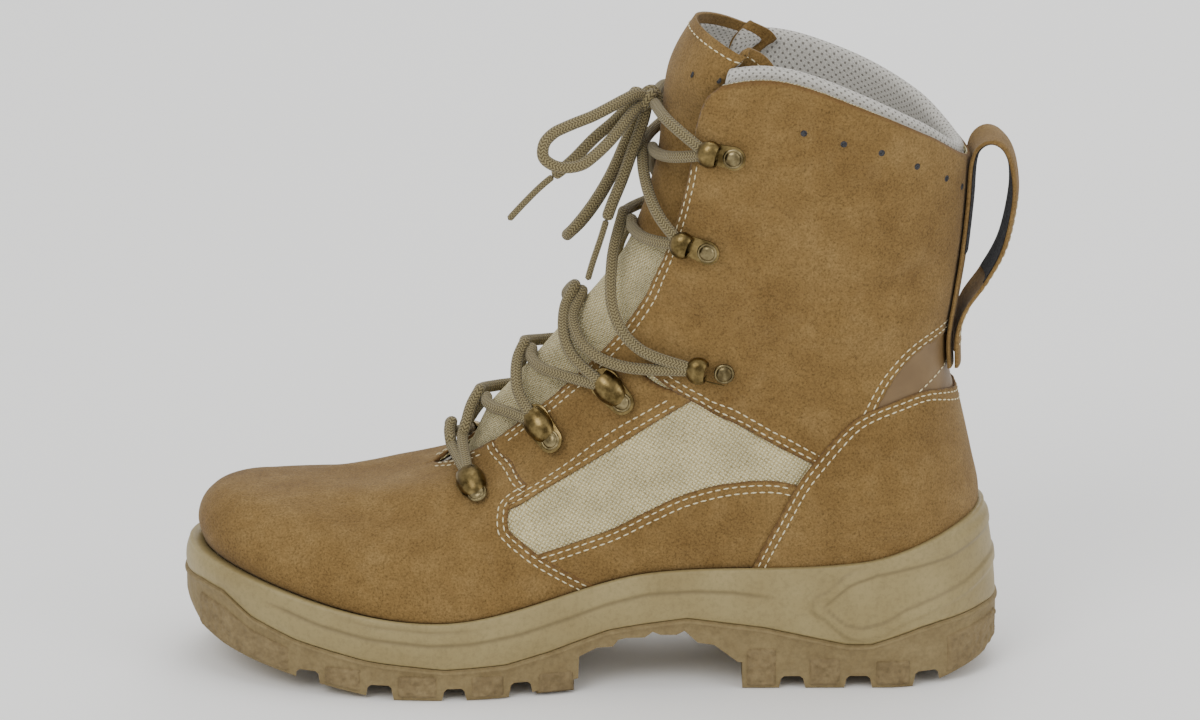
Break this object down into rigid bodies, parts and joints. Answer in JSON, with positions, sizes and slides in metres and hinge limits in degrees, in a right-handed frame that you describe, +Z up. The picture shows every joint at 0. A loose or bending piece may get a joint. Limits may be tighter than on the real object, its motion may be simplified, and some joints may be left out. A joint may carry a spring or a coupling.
{
  "type": "combat boot",
  "caption": "Left suede combat boot with cloth panels, laced through loops and hooks, with a padded collar, a heel pull loop and a lugged sole, standing empty.",
  "frame": {"origin": "on the ground under the middle of the boot without its bow", "axes": "+Z up, the toe points to -X, the outer (lateral) side of this left boot faces -Y"},
  "size_m": [0.3146, 0.113, 0.2513],
  "materials": {
    "sole_rubber": "matte pebbled rubber, brown khaki",
    "sole_foam": "smooth satin cast foam, khaki",
    "suede": "brushed suede leather, tan",
    "smooth_leather": "smooth tan leather",
    "woven_cloth": "coarse plain-woven nylon, cream",
    "lining_mesh": "perforated spacer mesh, light grey",
    "footbed_cloth": "black felted cloth",
    "antique_brass": "antique brass, worn bright at the edges",
    "lace_cord": "round braided cord, khaki",
    "stitching": "off-white twisted thread"
  },
  "bodies": {
    "root": {"outsole": "sole_rubber", "midsole": "sole_foam", "insole": "footbed_cloth", "upper": "suede", "tongue": "woven_cloth", "collar_padding": "lining_mesh", "heel_counter": "suede", "pull_loop": "suede", "lace_loop_outer_1": "antique_brass", "lace_loop_outer_2": "antique_brass", "lace_loop_outer_3": "antique_brass", "hook_outer_1": "antique_brass", "hook_outer_2": "antique_brass", "hook_outer_3": "antique_brass", "lace_loop_inner_1": "antique_brass", "lace_loop_inner_2": "antique_brass", "lace_loop_inner_3": "antique_brass", "hook_inner_1": "antique_brass", "hook_inner_2": "antique_brass", "hook_inner_3": "antique_brass", "lace_crossings": "lace_cord", "lace_knot": "lace_cord", "lace_bow_outer": "lace_cord", "lace_end_outer": "lace_cord", "lace_bow_inner": "lace_cord", "lace_end_inner": "lace_cord"}
  },
  "joints": []
}
